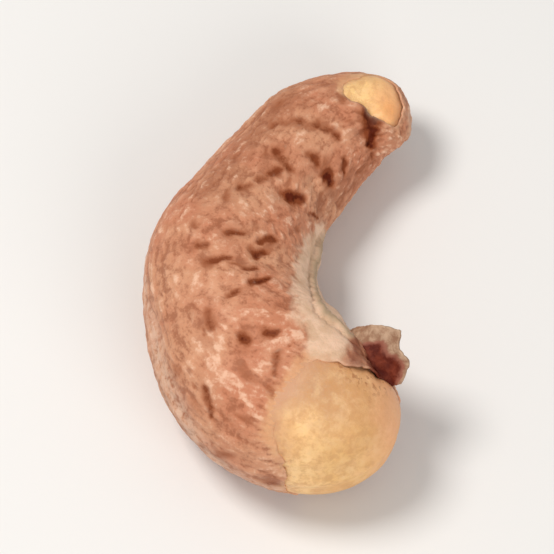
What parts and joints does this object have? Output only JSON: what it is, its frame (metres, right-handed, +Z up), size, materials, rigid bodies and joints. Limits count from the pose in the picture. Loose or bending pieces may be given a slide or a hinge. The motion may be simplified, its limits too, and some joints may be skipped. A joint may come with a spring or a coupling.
{
  "type": "cashew kernel in skin",
  "caption": "Crescent-shaped roasted cashew kernel in its papery red-brown skin, worn through in patches that show the pale kernel, lying on one cheek.",
  "frame": {"origin": "on the surface that the nut lies on, under the middle of its box", "axes": "+Y along the nut, from the broad lobe towards the narrow tip; the crook opens to +X; +Z up, out of the upper cheek"},
  "size_m": [0.0164, 0.0288, 0.0105],
  "materials": {
    "kernel": "smooth, dry and slightly waxy",
    "skin": "matt, wrinkled and flaky"
  },
  "bodies": {
    "root": {"kernel": "kernel", "skin": "skin"}
  },
  "joints": []
}
